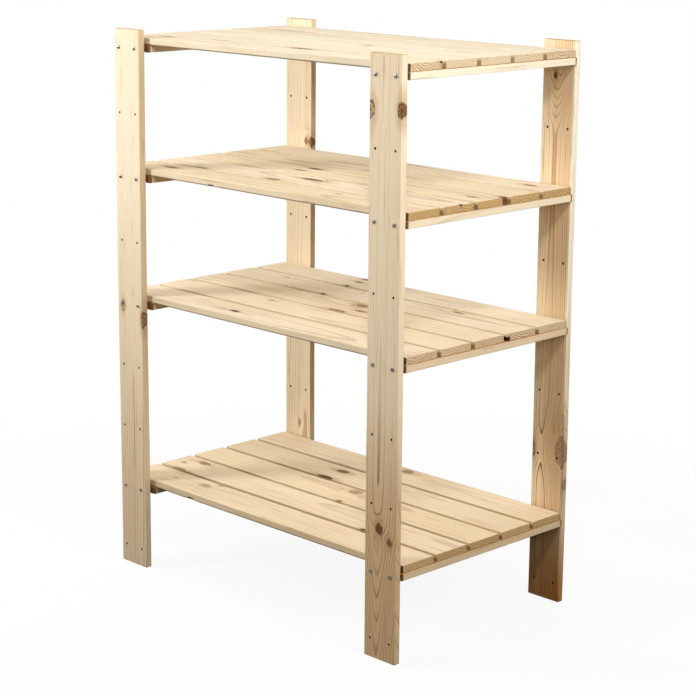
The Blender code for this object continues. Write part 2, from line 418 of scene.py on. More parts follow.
class StageLook(bpy.types.PropertyGroup):
    """Floor, lights and camera."""

    eye: bpy.props.FloatVectorProperty(
        name="Eye", description="Place of the camera", subtype="TRANSLATION",
        default=(2.9398, -2.8774, 1.5137))
    azimuth: angle_setting("Azimuth", "Turn of the camera round the unit, from the front to the right", 45.33)
    elevation: angle_setting("Elevation", "How far the camera looks down", 12.47)
    roll: angle_setting("Roll", "Tilt of the camera about its own axis", 0.47)
    lens: number_setting("Lens", "Focal length in millimetres on a 36 mm sensor", 101.3)
    rise: number_setting("Rise", "Vertical lens shift, as a share of the picture", -0.05)
    floor_pale: share_setting("Floor pale", "How pale the floor looks, where light falls on it", 0.92)
    floor_dim: share_setting("Floor dim", "How much light the floor throws back on the unit", 0.06)
    floor_white: share_setting("Floor white", "Share of the floor near the unit that is always white", 0.90)
    shadow_reach: length_setting("Shadow reach", "How far out the floor shows a shadow", 1.6)
    ambient: number_setting("Ambient", "Light from all round the room", 0.21)
    backdrop: share_setting("Backdrop", "How white the backdrop is for the unit itself", 0.88)
    lamp_level: number_setting("Lamp level", "Strength of all lamps together", 1.0)


class Field:
    """One output of a shader node. Python's operators on it add Math nodes."""

    def __init__(self, graph, socket):
        self.graph = graph
        self.socket = socket

    def __add__(self, other):
        return self.graph.math("ADD", self, other)

    def __sub__(self, other):
        return self.graph.math("SUBTRACT", self, other)

    def __rsub__(self, other):
        return self.graph.math("SUBTRACT", other, self)

    def __mul__(self, other):
        return self.graph.math("MULTIPLY", self, other)

    def __truediv__(self, other):
        return self.graph.math("DIVIDE", self, other)

    def __rtruediv__(self, other):
        return self.graph.math("DIVIDE", other, self)

    def __pow__(self, other):
        return self.graph.math("POWER", self, other)

    def __abs__(self):
        return self.graph.math("ABSOLUTE", self)

    __radd__ = __add__
    __rmul__ = __mul__


class Graph:
    """The node tree of a material or of the world."""

    def __init__(self, owner):
        owner.use_nodes = True
        self.tree = owner.node_tree
        self.tree.nodes.clear()

    def node(self, kind, settings=None, values=None, out=0):
        """Add a node: its settings first, then the values or links of its sockets. Returns one output."""
        made = self.tree.nodes.new(kind)
        for name, setting in (settings or {}).items():
            setattr(made, name, setting)
        for key, value in (values or {}).items():
            if isinstance(value, Field):
                self.tree.links.new(value.socket, made.inputs[key])
            else:
                made.inputs[key].default_value = value
        return Field(self, made.outputs[out]) if made.outputs else None

    def math(self, operation, *values):
        """A Math node."""
        return self.node("ShaderNodeMath", {"operation": operation}, dict(enumerate(values)))

    def split(self, vector):
        """The three parts of a vector."""
        parts = self.node("ShaderNodeSeparateXYZ", None, {0: vector}).socket.node
        return [Field(self, output) for output in parts.outputs]

    def moved(self, vector, offset):
        """A vector plus another."""
        return self.node("ShaderNodeVectorMath", {"operation": "ADD"}, {0: vector, 1: offset})

    def scaled(self, vector, factors):
        """A vector with each part times its factor."""
        return self.node("ShaderNodeVectorMath", {"operation": "MULTIPLY"}, {0: vector, 1: factors})

    def noise(self, vector, factors, detail=2.0):
        """Smooth noise from about -1 to 1, with its number of waves per metre along each axis."""
        values = {"Vector": self.scaled(vector, factors), "Scale": 1.0, "Detail": detail}
        return self.node("ShaderNodeTexNoise", None, values) * 2 - 1

    def ramp(self, value, low, high):
        """A smooth step from 0 at low to 1 at high."""
        values = {"Value": value, "From Min": low, "From Max": high}
        return self.node("ShaderNodeMapRange", {"interpolation_type": "SMOOTHSTEP"}, values)

    def mix(self, share, first, second):
        """A colour between two colours."""
        return self.node("ShaderNodeMix", {"data_type": "RGBA"}, {0: share, 6: first, 7: second}, out=2)

    def larger(self, *values):
        """The largest of some values."""
        found = values[0]
        for value in values[1:]:
            found = self.math("MAXIMUM", found, value)
        return found

    def pattern(self, place, pattern):
        """Where a soft pattern lies in the wood, from 0 to 1."""
        return self.ramp(self.noise(place, pattern.waves, pattern.detail), pattern.start, pattern.full)

    def within(self, value, limit, start, full):
        """A smooth step that starts at one distance before a limit and is full at a smaller one."""
        return self.ramp(value, limit - start, limit - full)

    def band(self, value, low, high, soft):
        """1 between low and high, and 0 further than soft outside them."""
        return self.ramp(value, low - soft, low) * self.ramp(value, high + soft, high)

    def shaded(self, colour, roughness, height, relief, **constants):
        """A surface with a bump from a height between 0 and 1."""
        bump = self.node(
            "ShaderNodeBump", None, {"Strength": 1.0, "Distance": relief, "Height": height}, out="Normal")
        values = {"Base Color": colour, "Roughness": roughness, "Normal": bump, **constants}
        return self.node("ShaderNodeBsdfPrincipled", None, values)

    def close(self, shader):
        """Make a shader the material's surface."""
        self.node("ShaderNodeOutputMaterial", None, {"Surface": shader})


def rgba(colour):
    """A colour with full alpha, as sockets take it."""
    return (*colour, 1.0)


# A soft pattern in the wood: its waves per metre along, across and deep, its detail, where it starts and is
# full in the noise, and how plain it is
Pattern = namedtuple("Pattern", "waves detail start full share")
STREAKS = Pattern((1.5, 38, 38), 3.0, 0.05, 0.75, 0.35)
MOTTLE = Pattern((4, 18, 18), 3.0, 0.0, 0.9, 0.35)
FLECKS = Pattern((9, 150, 150), 4.0, 0.15, 0.50, 0.50)
FADES = Pattern((3, 16, 16), 2.0, -0.7, 0.4, 0.5)

# Waves per metre along, across and deep of the fibres, the ragged edges of knots, the saw's marks and
# specks on the ends, and the dust on the edges and on the battens, and how far apart the boards lie in the
# noise
FIBRE_WAVES = (14, 900, 900)
RAGGED_WAVES = (70, 150, 150)
SCORE_WAVES = (30, 900, 60)
SPECK_WAVES = (200, 260, 260)
EDGE_WAVES = (6, 60, 60)
LID_WAVES = (60, 60, 60)
PLACE_REACH = 40

# How far a log's rings stray from round, slowly and finely, with the waves per metre along, across and deep
WANDER_WAVES = (1.3, 7, 7)
WANDER_REACH = 0.0045
WAVER_WAVES = (8, 45, 45)
WAVER_REACH = 0.0006

# A ring line on the faces, as shares of its ring: where it starts, is full and falls, how it rises, and how
# plain the faintest lines are next to the plainest
LINE_START = 0.58
LINE_FULL = 0.94
LINE_FALL = 0.95
LINE_RISE = 1.5
FAINTEST_LINE = 0.3

# A ring line on the sawn ends: how wide the rings are there next to the usual ones, where a line starts, is
# full and falls, and how much plainer it is than on the faces
END_RING_WIDTH = 1.5
FINE_START = 0.35
FINE_FULL = 0.85
FINE_FALL = 0.90
END_LINES = 2.2

# How far fibres and narrow sides make the ring lines fainter, and how far from the middle of a board the
# lines are as plain as at its start, as a share of its length
LINE_FIBRE = 0.2
LINE_NARROW = 0.6
LINES_CHANGE = 0.28

# How wood of another colour follows the grain and the fibres, how softly it ends across the board, and how
# far the streaks show in it, and how far the fibres show in the mottle
HEART_FLOW = 0.5
HEART_FIBRE = 0.001
HEART_SOFT = 0.003
HEART_STREAK = 0.25
MOTTLE_FIBRE = 0.4

# How a knot works on the wood round it, how plain the ring lines are next to it, and how ragged and how
# pointed it is
FLOW_SOFTNESS = 0.35
LIFT_SHARE = 0.9
LIFT_REACH = 3.0
NEAR_REACH = 4.0
NEAR_LINES = 0.5
RAGGED_SHARE = 0.40
POINTED_SHARE = 0.25

# The stain round a knot: how much longer it is than the knot, where it starts and is full, in radii, how
# far fibres fray it, and how plain it is
HALO_LONGER = 1.9
STAIN_START = 1.7
STAIN_FULL = 0.7
STAIN_FRAY = 0.35
STAIN_SHARE = 0.45

# The rings in a knot's body: how closely they lie, as an angle from its middle to its rim, how ragged and
# how soft they are, how plain the wood between them is, and is on top of that in a pale knot, and how much
# fainter they are on a narrow side
KNOT_RINGS = 17.0
KNOT_RAGGED = 2.0
KNOT_SOFT = 0.6
BETWEEN_SHARE = 0.50
BETWEEN_PALE = 0.45
BETWEEN_NARROW = 0.5

# A knot's dark middle and the edge of its body and of its relief, in radii, the width of its rim, how plain
# they are, and where the rim is broken
MIDDLE_START = 0.35
MIDDLE_FULL = 0.10
MIDDLE_SHARE = 0.6
BODY_EDGE = (1.12, 0.88)
RELIEF_EDGE = (1.15, 0.85)
RIM_WIDTH = 0.0024
RIM_SHARE = 0.35
BROKEN_START = 0.5
BROKEN_FULL = -0.3
BROKEN_SHARE = 0.6

# How deep the colour of the sawn ends goes, which part of that is full, and how far the ends are as dark as
# end grain, on the posts, on the battens and on each shelf; a batten's ends take the painted shade instead
END_DEPTHS = {"post": 0.0012, "slat": 0.0012, "batten": 0.006}
END_FULL = 1 / 3
POST_END_SHARE = 0.55
BATTEN_END_SHARE = 1.0
END_SHARES = {"bottom_shelf": 0.75, "middle_shelf": 0.45, "upper_shelf": 0.90, "top_shelf": 0.50}

# The saw's marks on the ends: how far they are scores and specks, where they start and are full, and how
# plain they are, and how plain the ring lines are there, at most and between the specks
SAWN_SCORES = 0.5
SAWN_SPECKS = 1.5
SAWN_START = -0.1
SAWN_FULL = 1.0
SAWN_SHARE = 0.8
FINE_SHARE = 0.7
FINE_SPECKS = 0.5

# How far in from a narrow side its own colour starts and is full, and how far in its ring lines are fainter
SIDE_START = 0.0014
SIDE_FULL = 0.0006
NARROW_START = 0.002
NARROW_FULL = 0.001

# Painted shade in the gaps: where the darker colour of the edges and the deeper painted shade start and are
# full in a gap, below the top of the slats, how plain that colour is and how cloudy, how far in from the
# slats' ends there is less painted shade, how much less, and how plain the painted shade is on each shelf
EDGE_START = 0.0001
EDGE_FULL = 0.0010
EDGE_SHARE = 0.65
EDGE_CLOUD = 0.3
SHADE_START = 0.0035
SHADE_FULL = 0.0080
OPEN_END_DEPTH = 0.025
OPEN_END_SHARE = 0.50
SHADE_SHARES = {"bottom_shelf": 0.95, "middle_shelf": 0.95, "upper_shelf": 0.90, "top_shelf": 0.65}

# The outer edges of a shelf: how golden and how cloudy they are, and where the painted shade in the seam
# behind a post and along the lower corner starts and is full, and how plain it is
OUTER_SHARE = 0.25
OUTER_CLOUD = 0.4
SEAM_START = 0.012
SEAM_FULL = 0.004
SEAM_SHARE = 0.95
CORNER_START = 0.0035
CORNER_FULL = 0.0015
CORNER_SHARE = 0.8

# The top of a batten, painted dark as shade where it shows in the gaps: how deep its colour starts and is
# full, how plain it is and how cloudy
LID_START = 0.0012
LID_FULL = 0.0004
LID_SHARE = 0.8
LID_CLOUD = 0.3

# A worn corner: how much of its depth is full, and how far in from its ends it starts
WANE_FULL = 0.8
WANE_SOFT = 0.006

# How much ring lines, fibres, sawn ends and knots add to a board's roughness and to its height
Feel = namedtuple("Feel", "late fibre end knot")
ROUGHER = Feel(-0.10, 0.05, 0.15, -0.08)
HIGHER = Feel(0.35, 0.25, 0.9, 0.5)

# The screws' plating and the nails' steel: how rough and how metallic they are, and their marks per metre
ZINC_ROUGHNESS = 0.20
ZINC_METALLIC = 0.95
ZINC_MARKS = 1500
STEEL_ROUGHNESS = 0.42
STEEL_METALLIC = 1.0
STEEL_MARKS = 1200

# Clouds on metal: how many there are per metre, how dull they are, where they start and are full, how plain
# they are, how much the marks add to them, what clouds and marks add to the roughness, and how high the
# marks are
CLOUD_WAVES = 420
CLOUD_DULL = 0.62
CLOUD_START = -0.6
CLOUD_FULL = 1.0
CLOUD_SHARE = 0.5
CLOUD_MARKS = 0.4
CLOUD_ROUGHER = 0.08
MARK_ROUGHER = 0.05
MARK_HEIGHT = 0.5
METAL_RELIEF = 0.00003

# What a board's colours are made from: the place in the board, fine fibres, the ragged edge of its knots,
# its ring lines on the faces and on the ends, how its grain is pushed aside, where knots are near, its sawn
# ends and its narrow sides
Grain = namedtuple("Grain", "along across deep place fibre ragged late fine flow near end narrow")


def knot_fields(graph, board, along, across, deep, ragged):
    """How a board's knots push its grain aside, lift its rings and draw them, and each knot's distances."""
    flow, lift, near, seen = 0.0, 0.0, 0.0, []
    for knot in board.knots:
        off_along = along - knot.along
        off_across = across - knot.across
        squeezed = off_along / knot.longer
        square = (squeezed * squeezed + off_across * off_across) / knot.radius ** 2
        flow = off_across / (square + FLOW_SOFTNESS) + flow
        lift = LIFT_SHARE * knot.radius * graph.math("EXPONENT", square / -LIFT_REACH) + lift
        near = NEAR_LINES * knot.dark * graph.math("EXPONENT", square / -NEAR_REACH) + near
        pointed = abs(off_across) * (POINTED_SHARE / knot.radius)
        apart = graph.math("SQRT", square) + pointed + ragged * RAGGED_SHARE
        if knot.taper:
            face = math.copysign(board.thickness / 2, knot.taper)
            apart = apart + abs(deep - face) * (abs(knot.taper) / knot.radius)
        drawn = squeezed / HALO_LONGER
        halo = graph.math("SQRT", drawn * drawn + off_across * off_across) / knot.radius
        seen.append((knot, apart, halo))
    return flow, lift, near, seen


def ring_field(graph, board, finish, place, along, across, deep, flow, lift):
    """The year rings of a board's log: its lines on the faces and the finer ones on its ends, from 0 to 1."""
    log = board.log
    wander = graph.noise(place, WANDER_WAVES, detail=1.0) * WANDER_REACH
    waver = graph.noise(place, WAVER_WAVES) * WAVER_REACH
    side = across - flow - (along * log.lean_across + log.pith_across)
    depth = deep - (along * log.lean_deep + log.pith_deep)
    radius = graph.math("SQRT", side * side + depth * depth) + wander + waver + lift
    for swell in log.swells:
        radius = radius + swell.height * graph.ramp(along, swell.start, swell.end)
    rings = radius / (finish.ring_spacing * log.ring_width)
    phase = graph.math("FRACT", rings)
    number = graph.math("FLOOR", rings)
    chance = graph.node("ShaderNodeTexWhiteNoise", {"noise_dimensions": "1D"}, {"W": number})
    strength = chance * (1 - FAINTEST_LINE) + FAINTEST_LINE
    late = graph.ramp(phase, LINE_START, LINE_FULL) ** LINE_RISE * graph.ramp(phase, 1.0, LINE_FALL)
    fine = graph.math("FRACT", radius / (finish.ring_spacing * END_RING_WIDTH))
    return late * strength, graph.ramp(fine, FINE_START, FINE_FULL) * graph.ramp(fine, 1.0, FINE_FALL)


def board_colour(board, finish):
    """The early wood of a board, between its usual colour and that of pale sap wood or warm heart wood."""
    other = finish.heart if board.log.tone > 0 else finish.pale
    return Vector(finish.early).lerp(Vector(other), abs(board.log.tone))


def hole_distance(graph, along, across, holes):
    """The distance from the axis of the nearest of the holes, which lie in evenly spaced pairs."""
    lowest, pitch, reach = holes
    row = graph.math("FRACT", (along - lowest) / pitch + 0.5) - 0.5
    off_along = row * pitch
    off_across = abs(across) - reach
    return graph.math("SQRT", off_along * off_along + off_across * off_across)


def plain_wood(graph, board, finish, grain):
    """Early wood with warm streaks, heart wood and patches of painted light and shade, ring lines that come
    and go, a mottle and flecks of resin.
    """
    streak = graph.pattern(grain.place, STREAKS)
    colour = graph.mix(streak * STREAKS.share, rgba(board_colour(board, finish)), rgba(finish.heart))
    for heart in board.log.hearts:
        side = grain.across - grain.flow * HEART_FLOW + grain.fibre * HEART_FIBRE
        within = graph.band(side, heart.first, heart.last, HEART_SOFT)
        within = within * graph.band(grain.along, heart.foot, heart.top, heart.soft)
        share = within * (streak * HEART_STREAK + heart.share)
        colour = graph.mix(share, colour, rgba(getattr(finish, heart.tone)))
    fade = graph.pattern(grain.place, FADES) * FADES.share + (1 - FADES.share)
    broken = grain.fibre * LINE_FIBRE + (1 - LINE_FIBRE / 2)
    lines = grain.late * fade * broken * (1 - grain.narrow * LINE_NARROW)
    at_start, at_end = board.log.lines
    change = graph.ramp(grain.along, LINES_CHANGE * -board.length, 0)
    plain = change * (at_end - at_start) + at_start + grain.near
    colour = graph.mix(lines * plain * finish.ring_strength, colour, rgba(finish.late))
    mottle = graph.noise(grain.place, MOTTLE.waves, MOTTLE.detail) + grain.fibre * MOTTLE_FIBRE
    colour = graph.mix(
        graph.ramp(mottle, MOTTLE.start, MOTTLE.full) * MOTTLE.share, colour, rgba(finish.heart))
    return graph.mix(graph.pattern(grain.place, FLECKS) * FLECKS.share, colour, rgba(finish.stain))


def with_knot(graph, finish, grain, colour, knot, apart, halo):
    """A knot: a stain drawn out along the grain, a body with rings of its own and a dark, broken rim."""
    pale = max(knot.ringed, 0)
    black = max(-knot.ringed, 0)
    stain = graph.ramp(halo + grain.fibre * STAIN_FRAY, STAIN_START, STAIN_FULL) * (STAIN_SHARE * knot.dark)
    colour = graph.mix(stain, colour, rgba(finish.stain))
    wave = graph.math("SINE", apart * KNOT_RINGS + grain.ragged * KNOT_RAGGED)
    between = graph.ramp(wave, KNOT_SOFT, -KNOT_SOFT) * (1 - grain.narrow * BETWEEN_NARROW)
    core = Vector(finish.knot).lerp(Vector(finish.bark), black)
    light = Vector(finish.stain).lerp(Vector(finish.heart), pale)
    body = graph.mix(
        between * ((BETWEEN_SHARE + BETWEEN_PALE * pale) * (1 - black)), rgba(core), rgba(light))
    middle = graph.ramp(apart, MIDDLE_START, MIDDLE_FULL) * MIDDLE_SHARE
    body = graph.mix(middle, body, rgba(finish.bark))
    colour = graph.mix(graph.ramp(apart, *BODY_EDGE) * knot.dark, colour, body)
    broken = graph.ramp(grain.ragged, BROKEN_START, BROKEN_FULL) * BROKEN_SHARE + (1 - BROKEN_SHARE)
    wide = RIM_WIDTH / knot.radius
    rim = graph.ramp(apart, 1 - wide, 1) * graph.ramp(apart, 1 + wide, 1) * broken
    return graph.mix(rim * (knot.dark * (RIM_SHARE + (1 - RIM_SHARE) * pale)), colour, rgba(finish.bark))


def with_ends(graph, board, finish, grain, colour, scored):
    """Sawn ends, darker and scored by the saw, with the year rings as arcs. A batten's are dark with painted
    shade.
    """
    tone, share = finish.end_grain, END_SHARES.get(shelf_of(board.name), POST_END_SHARE)
    # A batten's ends take the painted shade: they stand in the shade behind the post
    if board.kind == "batten":
        tone, share = finish.shade_brown, BATTEN_END_SHARE
    speck = graph.noise(grain.place, SPECK_WAVES)
    marks = graph.ramp(scored * SAWN_SCORES + speck * SAWN_SPECKS, SAWN_START, SAWN_FULL)
    sawn = graph.mix(marks * SAWN_SHARE, rgba(tone), rgba(finish.late))
    colour = graph.mix(grain.end * share, colour, sawn)
    plain = min(END_LINES * board.log.lines[1], 1)
    lines = grain.end * grain.fine * (speck * FINE_SPECKS + FINE_SHARE) * plain
    return graph.mix(lines, colour, rgba(finish.late))


def with_edges(graph, board, finish, grain, colour):
    """Long edges in the gaps with painted shade, golden at the top and dark below, and painted shade in the
    seams behind the posts and along the lower corners.
    """
    top = board.thickness / 2
    tip = board.length / 2
    below = graph.within(grain.deep, top, EDGE_START, EDGE_FULL)
    low = graph.within(grain.deep, top, SHADE_START, SHADE_FULL)
    cloud = graph.noise(grain.place, EDGE_WAVES)
    for sign in (-1, 1):
        edge = graph.within(grain.across * sign, board.width / 2, SIDE_START, SIDE_FULL)
        if sign in board.gap_edges:
            # Painted shade: the edges in a gap darker and golden near the top
            colour = graph.mix(edge * below * (cloud * EDGE_CLOUD + EDGE_SHARE), colour, rgba(finish.edge))
            # Less painted shade near the slats' open ends, where light gets into the gap
            open_end = graph.within(abs(grain.along), tip, OPEN_END_DEPTH, 0) * OPEN_END_SHARE
            painted_shade = low * (1 - open_end) * SHADE_SHARES[shelf_of(board.name)]
        else:
            seam = graph.within(abs(grain.along), tip, SEAM_START, SEAM_FULL)
            corner = graph.ramp(grain.deep, CORNER_START - top, CORNER_FULL - top)
            colour = graph.mix(edge * (cloud * OUTER_CLOUD + OUTER_SHARE), colour, rgba(finish.edge))
            painted_shade = graph.larger(seam * SEAM_SHARE, corner * CORNER_SHARE)
        colour = graph.mix(edge * painted_shade, colour, rgba(finish.shade_brown))
    return colour


def with_lid(graph, board, finish, grain, colour):
    """The top of a batten, painted dark brown as shade, which shows in the gaps between the slats."""
    lid = graph.within(grain.deep, board.thickness / 2, LID_START, LID_FULL)
    cloud = graph.noise(grain.place, LID_WAVES)
    return graph.mix(lid * (cloud * LID_CLOUD + LID_SHARE), colour, rgba(finish.foot))


def with_wane(graph, board, finish, grain, colour, wane):
    """A worn corner, where bark or a torn edge shows."""
    inside = graph.ramp(grain.along, wane.start, wane.start + WANE_SOFT)
    inside = inside * graph.ramp(grain.along, wane.end, wane.end - WANE_SOFT)
    off_side = board.width / 2 - grain.across * wane.across_sign
    off_face = board.thickness / 2 - grain.deep * wane.deep_sign
    full = wane.depth * WANE_FULL
    near = graph.ramp(off_side, wane.depth, full) * graph.ramp(off_face, wane.depth, full)
    return graph.mix(inside * near * wane.dark, colour, rgba(finish.bark))


def pine(board, finish, shape):
    """Knotty pine for one board: year rings, streaks, knots, sawn ends, worn edges and drilled holes."""
    material = bpy.data.materials.new(board.name)
    graph = Graph(material)
    seed = random.Random(board.name)
    local = graph.node("ShaderNodeTexCoord", out="Object")
    along, across, deep = graph.split(local)
    place = graph.moved(local, [seed.uniform(0, PLACE_REACH) for _ in range(3)])
    fibre = graph.noise(place, FIBRE_WAVES)
    ragged = graph.noise(place, RAGGED_WAVES)
    scored = graph.noise(place, SCORE_WAVES)
    flow, lift, near, seen = knot_fields(graph, board, along, across, deep, ragged)
    late, fine = ring_field(graph, board, finish, place, along, across, deep, flow, lift)
    depth = END_DEPTHS[board.kind]
    end = graph.within(abs(along), board.length / 2, depth, depth * END_FULL)
    narrow = graph.within(abs(across), board.width / 2, NARROW_START, NARROW_FULL)
    grain = Grain(along, across, deep, place, fibre, ragged, late, fine, flow, near, end, narrow)

    colour = plain_wood(graph, board, finish, grain)
    colour = with_ends(graph, board, finish, grain, colour, scored)
    bodies = 0.0
    for knot, apart, halo in seen:
        colour = with_knot(graph, finish, grain, colour, knot, apart, halo)
        bodies = graph.larger(graph.ramp(apart, *RELIEF_EDGE), bodies)
    if board.kind == "slat":
        colour = with_edges(graph, board, finish, grain, colour)
    if board.kind == "batten":
        colour = with_lid(graph, board, finish, grain, colour)
    for wane in board.wanes:
        colour = with_wane(graph, board, finish, grain, colour, wane)

    roughness = finish.roughness + late * ROUGHER.late + fibre * ROUGHER.fibre
    roughness = roughness + end * ROUGHER.end + bodies * ROUGHER.knot
    height = late * HIGHER.late + fibre * HIGHER.fibre + bodies * HIGHER.knot + end * scored * HIGHER.end
    sheen = {"Specular IOR Level": finish.sheen}
    surface = graph.shaded(colour, roughness, height, finish.relief, **sheen)
    if board.kind == "post":
        # Painted shade: the walls of the holes are a dark, dull diffuse brown
        off = hole_distance(graph, along, across, post_holes(board))
        bore = graph.ramp(off, shape.hole_diameter / 2 + shape.hole_flare, shape.hole_diameter / 2)
        painted_shade = graph.node("ShaderNodeBsdfDiffuse", None, {"Color": rgba(finish.bore)})
        surface = graph.node("ShaderNodeMixShader", None, {0: bore, 1: surface, 2: painted_shade})
    graph.close(surface)
    return material


def metal(name, colour, roughness, metallic, marks):
    """Plated or drawn steel, with a cloudy tint and fine marks of so many waves per metre."""
    material = bpy.data.materials.new(name)
    graph = Graph(material)
    local = graph.node("ShaderNodeTexCoord", out="Object")
    cloud = graph.noise(local, [CLOUD_WAVES] * 3, detail=3.0)
    mark = graph.noise(local, [marks] * 3)
    dull = [part * CLOUD_DULL for part in colour]
    cloudy = graph.ramp(cloud + mark * CLOUD_MARKS, CLOUD_START, CLOUD_FULL) * CLOUD_SHARE
    shade = graph.mix(cloudy, rgba(colour), rgba(dull))
    uneven = roughness + cloud * CLOUD_ROUGHER + mark * MARK_ROUGHER
    height = mark * MARK_HEIGHT + MARK_HEIGHT
    graph.close(graph.shaded(shade, uneven, height, METAL_RELIEF, Metallic=metallic))
    return material


def new_piece(name, mesh, material, place, nodes=()):
    """Put a finished mesh in the unit as a piece that rides on it, in place of any nodes named."""
    piece = bpy.data.objects.new(name, mesh)
    if material and not mesh.materials:
        mesh.materials.append(material)
    piece.matrix_world = place
    bpy.context.scene.collection.objects.link(piece)
    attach(piece, "root")
    if nodes:
        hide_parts(*nodes)
    return piece


def mesh_from(name, bm):
    """A mesh from a finished bmesh, with its faces turned outward."""
    bmesh.ops.recalc_face_normals(bm, faces=bm.faces)
    mesh = bpy.data.meshes.new(name)
    bm.to_mesh(mesh)
    bm.free()
    return mesh


def cut(mesh, cutter):
    """The mesh less the cutter, as a new mesh."""
    scene = bpy.context.scene.collection
    target = bpy.data.objects.new("cut_target", mesh)
    tool = bpy.data.objects.new("cut_tool", cutter)
    scene.objects.link(target)
    scene.objects.link(tool)
    step = target.modifiers.new("cut", "BOOLEAN")
    step.operation = "DIFFERENCE"
    step.solver = "EXACT"
    step.object = tool
    evaluated = target.evaluated_get(bpy.context.evaluated_depsgraph_get())
    done = bpy.data.meshes.new_from_object(evaluated)
    done.name = mesh.name + "_cut"
    bpy.data.objects.remove(target)
    bpy.data.objects.remove(tool)
    bpy.data.meshes.remove(cutter)
    return done


def kind_of(node):
    """Whether a node is a post, a slat or a batten."""
    return next(kind for kind in LIES if f"_{kind}" in node)


def chance_swell(seed):
    """A swelling somewhere along a board, to either side."""
    start = seed.uniform(-SWELL_PLACE_REACH, SWELL_PLACE_REACH)
    length = seed.choice((-1, 1)) * seed.uniform(*SWELL_LENGTH)
    return Swell(start, start + length, seed.uniform(*SWELL_HEIGHT))


def chance_log(seed, node):
    """A log for a board whose grain isn't set by hand."""
    side = seed.choice((-1, 1))
    kind = kind_of(node)
    shelf = shelf_of(node)
    return Log(
        seed.uniform(-PITH_ACROSS_REACH, PITH_ACROSS_REACH),
        side * seed.uniform(PITH_DEEP_NEAREST, PITH_DEEP_FARTHEST),
        seed.uniform(-LEAN_REACH, LEAN_REACH),
        seed.uniform(-LEAN_REACH, LEAN_REACH),
        seed.uniform(*RING_WIDTHS),
        [seed.uniform(*CHANCE_LINES[kind]) * SHELF_LINES[shelf] for _ in range(2)],
        seed.uniform(-TONE_REACH, TONE_REACH) - SHELF_PALE[shelf] + KIND_TONES[kind],
        (chance_swell(seed), chance_swell(seed)),
    )


def chance_knots(seed, length, width):
    """A few small knots, or none, for a board that has none listed."""
    found = []
    for _ in range(seed.randint(0, CHANCE_KNOTS_AT_MOST)):
        along = seed.uniform(-CHANCE_KNOT_ALONG, CHANCE_KNOT_ALONG) * length
        across = seed.uniform(-CHANCE_KNOT_ACROSS, CHANCE_KNOT_ACROSS) * width
        found.append(Knot(along, across, seed.uniform(*CHANCE_KNOT_RADIUS)))
    return found


def board_for(node):
    """What the frame says of a board, with its log and knots."""
    low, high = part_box(node)
    kind = kind_of(node)
    lies = LIES[kind]
    size = [abs(part) for part in lies.transposed() @ (high - low)]
    seed = random.Random(node)
    log = LOGS.get(node) or chance_log(seed, node)
    knots = KNOTS.get(node) or chance_knots(seed, size[0], size[1])
    place = Matrix.Translation((low + high) / 2) @ lies.to_4x4()
    return Board(node, kind, *size, place, log, knots, WANES.get(node, ()), gap_edges(node))


def gap_edges(node):
    """The long edges of a slat that look into a gap between slats, as signs of across."""
    if kind_of(node) != "slat":
        return ()
    number = int(node.rsplit("_", 1)[1])
    front = () if number == SLAT_NUMBERS[0] else (-1,)
    back = () if number == SLAT_NUMBERS[-1] else (1,)
    return front + back


# The corners of a board's cross-section, anticlockwise, as the signs of across and deep
CORNERS = ((1, 1), (-1, 1), (-1, -1), (1, -1))

# A board's crook: how many waves it has, how large they are next to the whole, how fast they go along the
# board, and where they start
CROOK_WAVES = 2
CROOK_SIZES = (0.3, 1.0)
CROOK_RATES = (2, 7)
CROOK_STARTS = (0, 6)

# How uneven a worn corner is, and how blunt its ends are
WANE_UNEVEN = (0.75, 1.0)
WANE_BLUNT = 0.5

# A pan-head screw: the height of its rim and of its ease next to the head's, the facets of its dome and
# round it, where its thread starts, in heights of the head, how long its tip is, in diameters, how many
# rings a turn of the thread has, how large the last ring is next to the others and where it lies in the
# tip, and its sharpest angle
HEAD_RIM = 0.45
HEAD_EASE = 0.1
HEAD_STEPS = 6
SCREW_SIDES = 20
THREAD_START = 2
TIP_LENGTH = 1.5
THREAD_STEPS = 4
TIP_WIDTH = 0.5
TIP_PLACE = 0.4
SCREW_SHARP = math.radians(40)

# The size of the cross recess at its floor and above the crown, next to its usual size
RECESS_FLOOR = 0.55
RECESS_TOP = 1.25

# A nail: its facets, the ease of its head next to its height, how far it stands from the middle of its
# batten, next to the batten's width, how far it may stray across and along the batten, and its sharpest
# angle
NAIL_SIDES = 16
NAIL_EASE = 0.3
NAIL_STEP = 0.2
NAIL_STRAY_ACROSS = 0.004
NAIL_STRAY_ALONG = 0.005
NAIL_SHARP = math.radians(35)


def corner_radius(board, shape, corner, along, seed):
    """The rounding of one long edge at one place: a wane makes it larger, and uneven."""
    radius = shape.edge_radius
    for wane in board.wanes:
        if (wane.across_sign, wane.deep_sign) == corner and wane.start < along < wane.end:
            share = (along - wane.start) / (wane.end - wane.start)
            swell = math.sin(math.pi * share) ** WANE_BLUNT
            radius = max(radius, wane.depth * swell * seed.uniform(*WANE_UNEVEN))
    return radius


def cross_section(board, shape, along, inset, seed):
    """The outline of a board at one place along it, as across and deep."""
    half_width = board.width / 2 - inset
    half_deep = board.thickness / 2 - inset
    outline = []
    for number, corner in enumerate(CORNERS):
        radius = corner_radius(board, shape, corner, along, seed)
        middle = (corner[0] * (half_width - radius), corner[1] * (half_deep - radius))
        for step in range(shape.edge_steps + 1):
            turn = math.pi / 2 * (number + step / shape.edge_steps)
            outline.append((middle[0] + radius * math.cos(turn), middle[1] + radius * math.sin(turn)))
    return outline


def stations(board, shape):
    """Where a board's cross-sections lie along it, and how far each is drawn in: the ends are eased."""
    half = board.length / 2
    count = round((board.length - 2 * shape.end_ease) / STATION_SPACING)
    inner = half - shape.end_ease
    places = [(-half, shape.end_ease)]
    places += [(-inner + 2 * inner * step / count, 0.0) for step in range(count + 1)]
    return places + [(half, shape.end_ease)]


